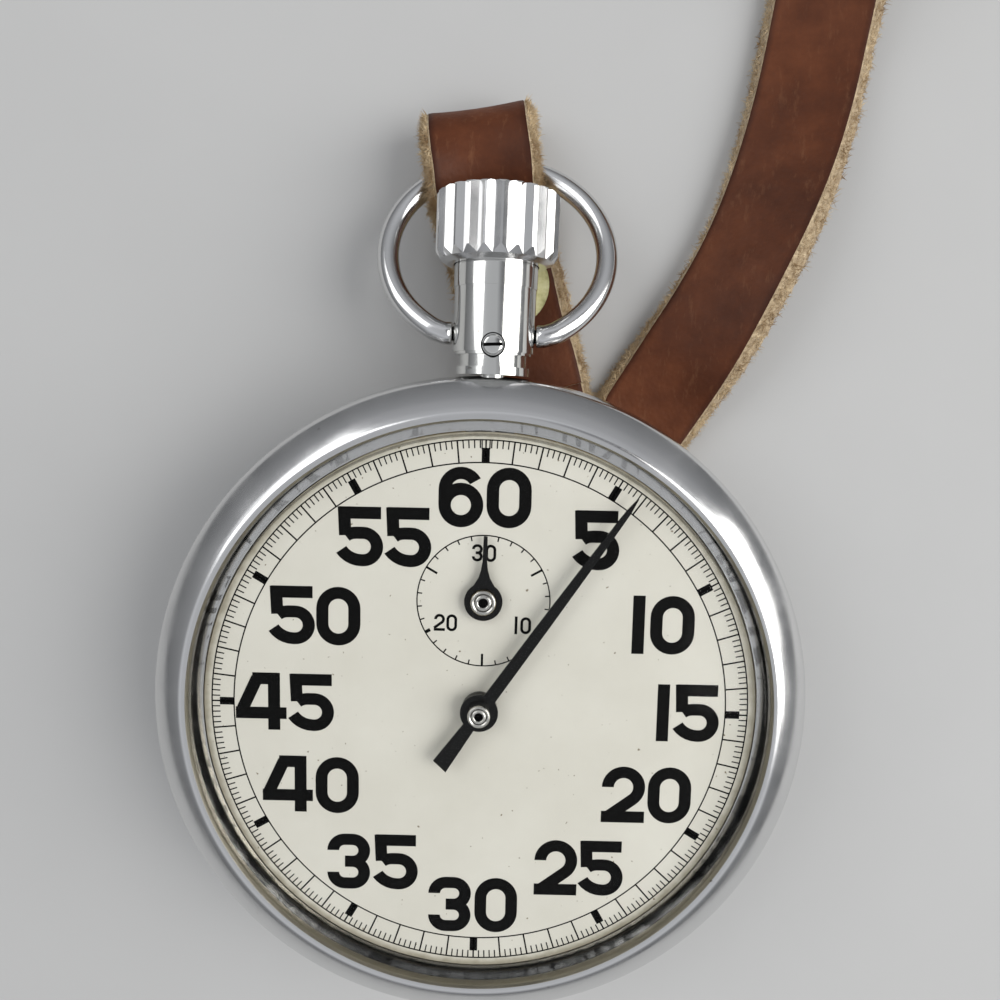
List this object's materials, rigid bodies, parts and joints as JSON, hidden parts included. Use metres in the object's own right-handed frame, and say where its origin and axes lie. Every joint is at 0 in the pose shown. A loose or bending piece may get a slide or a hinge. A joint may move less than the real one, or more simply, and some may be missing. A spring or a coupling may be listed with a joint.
{
  "type": "stopwatch",
  "caption": "Mechanical pocket stopwatch with a thirty minute counter, press crown, swinging bow, wheel train, domed crystal and a riveted leather wrist strap",
  "frame": {"origin": "centre of the flat rest on the back of the case", "axes": "+X towards three o'clock, +Y towards the crown at twelve o'clock, +Z out of the dial"},
  "size_m": [0.0656, 0.1332, 0.0149],
  "materials": {
    "case": "polished, a little scuffed",
    "crystal": "clear, domed",
    "dial": "matte cream with black print",
    "hands": "black gloss",
    "steel": "polished steel",
    "blued_steel": "blued",
    "brass": "gilt brass",
    "old_brass": "tarnished olive brass",
    "plate": "frosted gilt",
    "ruby": "polished jewel",
    "leather": "smooth brown grain with rough pale cut edges"
  },
  "bodies": {
    "case": {"case_band": "case", "case_back": "case", "bezel": "case", "crystal": "crystal", "pendant_neck": "case", "pendant_screw": "case", "crown_spring": "steel", "dial": "dial", "main_plate": "plate", "barrel_bridge": "plate", "train_bridge": "plate", "balance_cock": "plate", "pallet_bridge": "plate", "movement_screws": "blued_steel", "case_screws": "steel", "pivot_jewels": "ruby", "click_spring": "blued_steel", "hairspring": "blued_steel", "strap_loop": "leather", "strap_lead": "leather", "strap_stud": "old_brass", "strap_rivet": "old_brass"},
    "sleeve": {"stem_sleeve": "brass"},
    "crown": {"crown": "case", "winding_stem": "steel"},
    "bow": {"bow": "case"},
    "winding_pinion": {"winding_pinion": "steel"},
    "crown_wheel": {"face_wheel": "steel", "crown_wheel": "steel"},
    "idler_wheel": {"idler_wheel": "steel"},
    "ratchet": {"ratchet_wheel": "steel", "barrel_arbor": "steel"},
    "click": {"click": "steel"},
    "barrel": {"barrel": "brass", "barrel_cover": "brass", "mainspring": "blued_steel"},
    "second_wheel": {"second_wheel": "brass"},
    "third_wheel": {"third_wheel": "brass"},
    "seconds": {"seconds_arbor": "steel", "seconds_wheel": "brass", "seconds_heart": "steel", "second_hand": "hands"},
    "escape_wheel": {"escape_wheel": "brass"},
    "pallet_fork": {"pallet_fork": "steel"},
    "balance": {"balance_staff": "steel", "balance_wheel": "brass"},
    "transfer_wheel": {"transfer_wheel": "brass"},
    "minute_counter": {"minute_wheel": "brass", "minute_heart": "steel", "minute_hand": "hands"},
    "operating_lever": {"operating_lever": "steel"},
    "column_wheel": {"column_wheel": "steel"},
    "reset_hammer": {"reset_hammer": "steel"},
    "brake_lever": {"brake_lever": "steel"}
  },
  "joints": [
    {"name": "crown_press", "type": "slide", "parent": "case", "child": "sleeve", "axis": [0, -1, 0], "range_m": [0, 0.0012], "deforming": ["crown_spring"]},
    {"name": "crown_turn", "type": "hinge", "parent": "sleeve", "child": "crown", "pos_m": [0, 0.034, 0.0089], "axis": [0, 1, 0], "continuous": true},
    {"name": "bow_swing", "type": "hinge", "parent": "case", "child": "bow", "pos_m": [0, 0.0286, 0.0089], "axis": [1, 0, 0], "range_deg": [0, 20], "deforming": ["strap_loop"]},
    {"name": "winding_pinion_turn", "type": "hinge", "parent": "case", "child": "winding_pinion", "pos_m": [0, 0.0172, 0.0089], "axis": [0, 1, 0], "continuous": true},
    {"name": "crown_wheel_turn", "type": "hinge", "parent": "case", "child": "crown_wheel", "pos_m": [0, 0.0143, 0.008], "axis": [0, 0, 1], "continuous": true},
    {"name": "idler_turn", "type": "hinge", "parent": "case", "child": "idler_wheel", "pos_m": [-0.00528, 0.01267, 0.008], "axis": [0, 0, 1], "continuous": true},
    {"name": "ratchet_turn", "type": "hinge", "parent": "case", "child": "ratchet", "pos_m": [-0.0102, 0.0066, 0.008], "axis": [0, 0, 1], "continuous": true},
    {"name": "click_lift", "type": "hinge", "parent": "case", "child": "click", "pos_m": [-0.0116, -0.0017, 0.008], "axis": [0, 0, 1], "range_deg": [-8, 0]},
    {"name": "seconds_run", "type": "hinge", "parent": "case", "child": "seconds", "pos_m": [0, 0, 0.008], "axis": [0, 0, -1], "continuous": true},
    {"name": "third_turn", "type": "hinge", "parent": "case", "child": "third_wheel", "pos_m": [-0.00344, -0.00491, 0.008], "axis": [0, 0, -1], "continuous": true},
    {"name": "second_turn", "type": "hinge", "parent": "case", "child": "second_wheel", "pos_m": [-0.00784, -0.00068, 0.008], "axis": [0, 0, -1], "continuous": true},
    {"name": "barrel_turn", "type": "hinge", "parent": "case", "child": "barrel", "pos_m": [-0.0102, 0.0066, 0.008], "axis": [0, 0, -1], "continuous": true},
    {"name": "escape_turn", "type": "hinge", "parent": "case", "child": "escape_wheel", "pos_m": [0.00517, -0.00188, 0.008], "axis": [0, 0, -1], "continuous": true},
    {"name": "transfer_turn", "type": "hinge", "parent": "case", "child": "transfer_wheel", "pos_m": [0.00154, 0.00421, 0.008], "axis": [0, 0, -1], "continuous": true},
    {"name": "minute_run", "type": "hinge", "parent": "case", "child": "minute_counter", "pos_m": [0, 0.0085, 0.008], "axis": [0, 0, -1], "continuous": true},
    {"name": "pallet_rock", "type": "hinge", "parent": "case", "child": "pallet_fork", "pos_m": [0.00734, -0.00488, 0.008], "axis": [0, 0, 1], "range_deg": [-5, 5]},
    {"name": "balance_swing", "type": "hinge", "parent": "case", "child": "balance", "pos_m": [0.0096, -0.008, 0.008], "axis": [0, 0, 1], "range_deg": [-135, 135]},
    {"name": "lever_push", "type": "hinge", "parent": "case", "child": "operating_lever", "pos_m": [0.0064, 0.0146, 0.008], "axis": [0, 0, 1], "range_deg": [0, 11]},
    {"name": "column_step", "type": "hinge", "parent": "case", "child": "column_wheel", "pos_m": [0.0082, 0.0059, 0.008], "axis": [0, 0, 1], "continuous": true},
    {"name": "hammer_fall", "type": "hinge", "parent": "case", "child": "reset_hammer", "pos_m": [0.0018, -0.0122, 0.008], "axis": [0, 0, 1], "range_deg": [-3, 0]},
    {"name": "brake_close", "type": "hinge", "parent": "case", "child": "brake_lever", "pos_m": [0.0136, 0.0034, 0.008], "axis": [0, 0, 1], "range_deg": [-3, 2]}
  ],
  "couplings": [
    {"joint": "winding_pinion_turn", "follows": "crown_turn", "ratio": 1},
    {"joint": "crown_wheel_turn", "follows": "crown_turn", "ratio": 0.48276},
    {"joint": "idler_turn", "follows": "crown_turn", "ratio": -0.8046},
    {"joint": "ratchet_turn", "follows": "crown_turn", "ratio": 0.28966},
    {"joint": "third_turn", "follows": "seconds_run", "ratio": -0.2},
    {"joint": "second_turn", "follows": "seconds_run", "ratio": 0.033333},
    {"joint": "barrel_turn", "follows": "seconds_run", "ratio": -0.0041667},
    {"joint": "escape_turn", "follows": "seconds_run", "ratio": -10},
    {"joint": "transfer_turn", "follows": "seconds_run", "ratio": -0.16667},
    {"joint": "minute_run", "follows": "seconds_run", "ratio": 0.033333},
    {"joint": "lever_push", "follows": "crown_press", "rad_per_m": 155}
  ]
}
